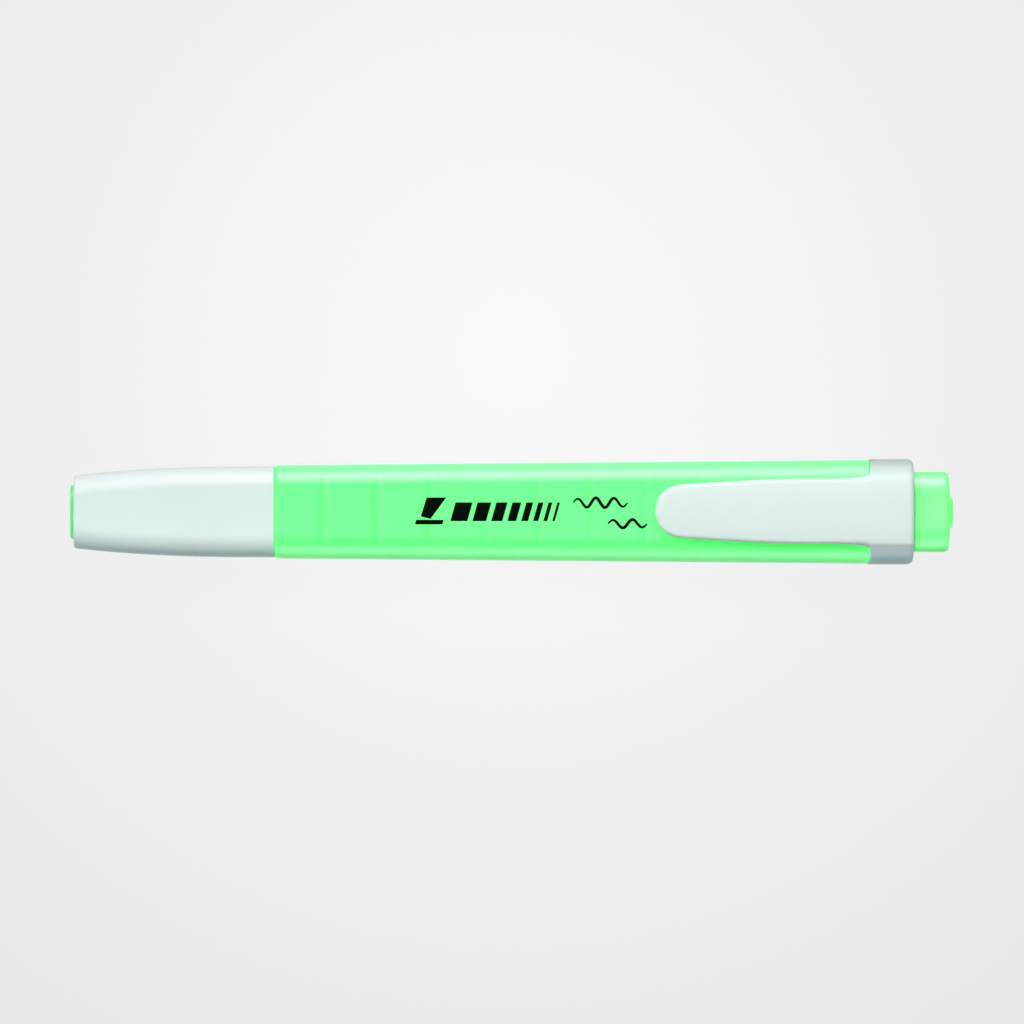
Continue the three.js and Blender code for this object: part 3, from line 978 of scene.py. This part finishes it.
def slanted_line(left, bottom, top, slant):
    """Points (x, y) up a line that leans along the pen by slant."""
    share = np.linspace(0, 1, SLANT_STEPS)
    return np.column_stack((left + slant * share, bottom + (top - bottom) * share))


def slanted_bar(left, width, bottom, top, slant):
    line = slanted_line(left, bottom, top, slant)
    return line, line + (width, 0)


def chisel(left, foot, head, bottom, top, slant):
    """A slanted block that is foot wide at its bottom, cut on a slant, and head wide at its top."""
    line = slanted_line(left, bottom, top, slant)
    share = np.linspace(0, 1, SLANT_STEPS)
    return line, line + np.column_stack((foot + (head - foot) * share, -0.35 * (1 - share)))


def wave(left, right, middle, height, thick, turns):
    """A wavy stroke that thins out towards both ends."""
    along = np.linspace(0, 1, WAVE_STEPS)
    x = left + (right - left) * along
    swell = np.sin(along * math.pi) ** 0.5
    y = middle + height * np.sin(along * turns * 2 * math.pi) * (0.6 + 0.4 * swell)
    slope = np.gradient(y, x)
    normal = np.column_stack((-slope, np.ones_like(slope))) / np.sqrt(1 + slope**2)[:, None]
    half = thick * (0.35 + 0.65 * swell)[:, None] / 2
    line = np.column_stack((x, y))
    return line + normal * half, line - normal * half


def motif():
    shapes = [
        chisel(-13.9, foot=1.5, head=3.0, bottom=-0.8, top=2.1, slant=0.9),
        slanted_bar(-14.8, width=4.2, bottom=-2.0, top=-1.3, slant=0.2),
    ]
    left = -9.4
    for width in BAR_WIDTHS:
        shapes.append(slanted_bar(left, width, bottom=-1.5, top=1.35, slant=0.8))
        left += width + BAR_GAP
    shapes.append(wave(9.3, 17.6, middle=1.3, height=0.75, thick=0.5, turns=3.0))
    shapes.append(wave(14.6, 20.6, middle=-1.9, height=0.65, thick=0.5, turns=2.0))
    return printed("print_piece", shapes)


put(motif(), print_black, "pen", "body_plastic")

# ---- Stage, lights and camera --------------------------------------------------------------

LENS = 300
SENSOR = 36
FRAME_WIDTH = 156.68 * MM  # across the picture, at the pen's axis
CAMERA_TILT = math.radians(1)
LAMP_DISTANCE = 0.7
PANEL = 0.42  # length along the pen of the panels that show only as reflections
HORIZON = 0.5


def floor():
    """Paper with a painted pool of light: brightest beside the pen's middle, a little darker outwards."""
    bpy.ops.mesh.primitive_plane_add(size=4, location=(0, 0, -0.00002))
    plane = bpy.context.object
    plane.name = "floor"
    look = Look(
        "floor_paper",
        Roughness=0.9,
        Base_Color=(0.02, 0.02, 0.02, 1),
        Specular_IOR_Level=0,
        Emission_Color=(1, 1, 1, 1),
    )
    spot = look.node("ShaderNodeVectorMath", {0: look.place(), 1: (0, 26, 0)}, operation="DISTANCE")
    # Painted light: the floor's emission falls off away from the pen's middle.
    look.drive("Emission Strength", look.ranged(spot.outputs["Value"], 0.93, 0.782, 0, 126))
    plane.data.materials.append(look.material)
    plane.visible_diffuse = False


def area_light(name, azimuth, elevation, extent, radiance, diffuse=True, glossy=True):
    """A rectangle of light facing the pen."""
    lamp = bpy.data.lights.new(name, "AREA")
    lamp.shape = "RECTANGLE"
    lamp.size, lamp.size_y = extent
    lamp.energy = radiance * math.pi * extent[0] * extent[1]
    holder = bpy.data.objects.new(name, lamp)
    bpy.context.scene.collection.objects.link(holder)
    turn, rise = math.radians(azimuth), math.radians(elevation)
    outward = Vector((math.cos(turn) * math.cos(rise), math.sin(turn) * math.cos(rise), math.sin(rise)))
    holder.location = outward * LAMP_DISTANCE + Vector((0, 0, AXIS_Z * MM))
    holder.rotation_euler = outward.to_track_quat("Z", "Y").to_euler()
    holder.visible_diffuse = diffuse
    holder.visible_glossy = glossy
    holder.visible_camera = False


def world():
    """Dim above, brighter round the horizon and below, most of all on the side away from the key."""
    surroundings = bpy.data.worlds.new("surroundings")
    bpy.context.scene.world = surroundings
    surroundings.use_nodes = True
    nodes = Nodes(surroundings.node_tree)
    direction = nodes.node("ShaderNodeTexCoord").outputs["Generated"]
    _, across, up = nodes.node("ShaderNodeSeparateXYZ", {"Vector": direction}).outputs
    ramp = nodes.node("ShaderNodeValToRGB", {"Fac": nodes.ranged(up, 0, 1, -1, 1)})
    steps = (  # height from straight down to straight up, level, share of red
        (0.0, 0.5, 0.8),
        (0.46, 0.52, 0.8),
        (HORIZON, 0.7, 0.88),
        (0.56, 0.5, 0.95),
        (0.62, 0.14, 0.97),
        (1.0, 0.12, 0.97),
    )
    elements = ramp.color_ramp.elements
    while len(elements) < len(steps):
        elements.new(HORIZON)
    for element, (height, level, red) in zip(elements, steps):
        element.position = height
        element.color = (level * red, level, level, 1)
    side = nodes.ranged(across, 0.7, 0, -0.6, 0.2)
    below = nodes.ranged(up, 1, 0, -0.1, 0.05)
    background = surroundings.node_tree.nodes["Background"].inputs
    nodes.tree.links.new(ramp.outputs["Color"], background["Color"])
    nodes.tree.links.new(nodes.maths("MULTIPLY_ADD", side, below, 1.0), background["Strength"])


def camera():
    distance = FRAME_WIDTH * LENS / SENSOR
    data = bpy.data.cameras.new("camera")
    data.lens = LENS
    data.sensor_width = SENSOR
    holder = bpy.data.objects.new("camera", data)
    bpy.context.scene.collection.objects.link(holder)
    holder.rotation_euler.x = CAMERA_TILT
    back, height = distance * math.sin(CAMERA_TILT), distance * math.cos(CAMERA_TILT)
    holder.location = (0, -back, AXIS_Z * MM + height)
    bpy.context.scene.camera = holder


floor()
area_light("key", 102, 63, (0.9, 0.34), 6.1, glossy=False)
area_light("upper_shine", 90, 44.5, (PANEL, 0.32), 7.6, diffuse=False)
area_light("upper_sheen", 90, 20, (PANEL, 0.34), 3.8, diffuse=False)
area_light("upper_trail", 90, 68, (PANEL, 0.18), 4.6, diffuse=False)
area_light("lower_shine", 270, 18, (PANEL, 0.16), 3.0, diffuse=False)
area_light("end_shine", 180, 25, (0.3, 0.2), 3.5, diffuse=False)
world()
camera()
bpy.context.scene.view_settings.view_transform = "Standard"
